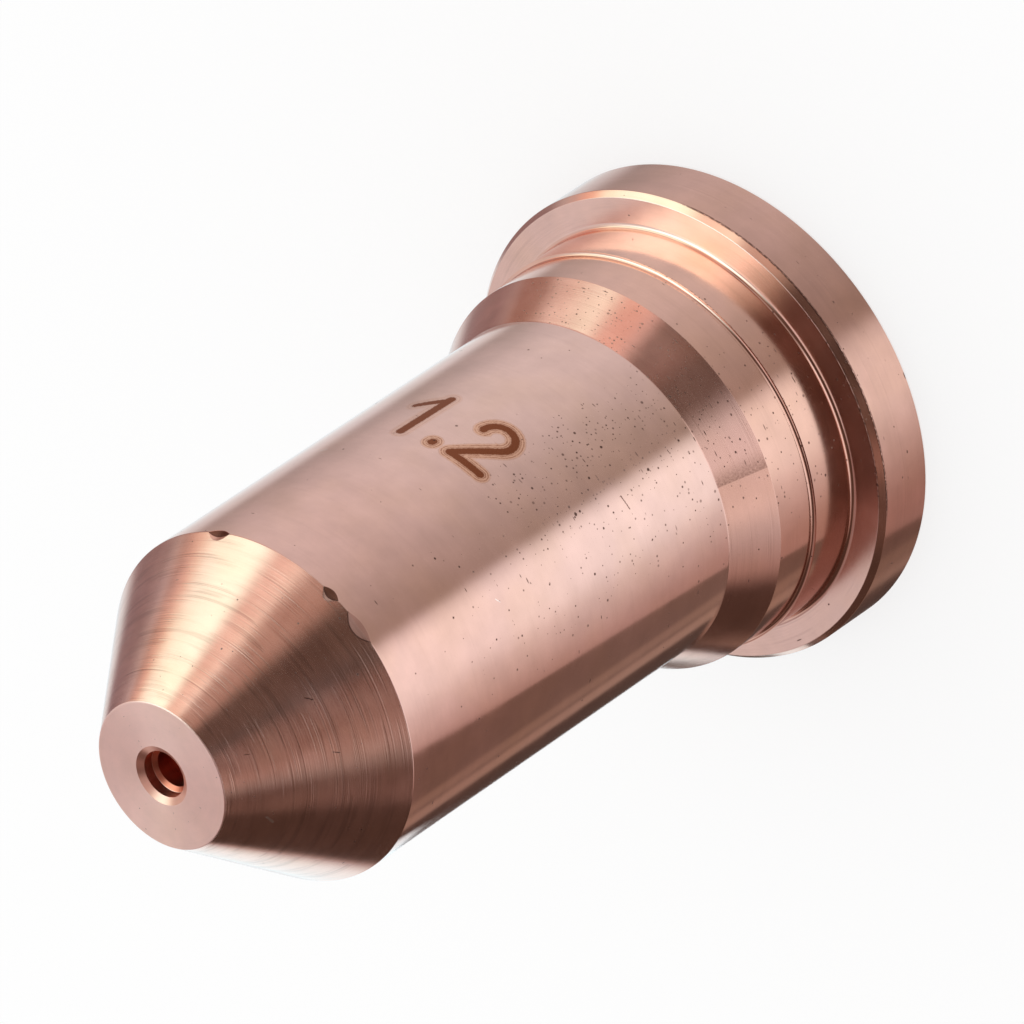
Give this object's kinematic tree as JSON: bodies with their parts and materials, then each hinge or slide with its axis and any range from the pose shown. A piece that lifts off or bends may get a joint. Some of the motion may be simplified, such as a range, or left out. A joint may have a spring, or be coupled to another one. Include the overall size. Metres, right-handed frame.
{
  "type": "plasma torch nozzle",
  "caption": "Turned copper nozzle for a plasma cutting torch: a flanged hollow body, an electrode chamber, a conical nose and a fine central orifice.",
  "frame": {"origin": "centre of the flange's rear face, on the axis", "axes": "+Z along the axis from the flange towards the nose; -Y is the side with the marked number"},
  "size_m": [0.0152, 0.0152, 0.026],
  "materials": {
    "copper": "bare turned and polished copper with fine scratches and dark pits"
  },
  "bodies": {
    "root": {"nozzle": "copper"}
  },
  "joints": []
}
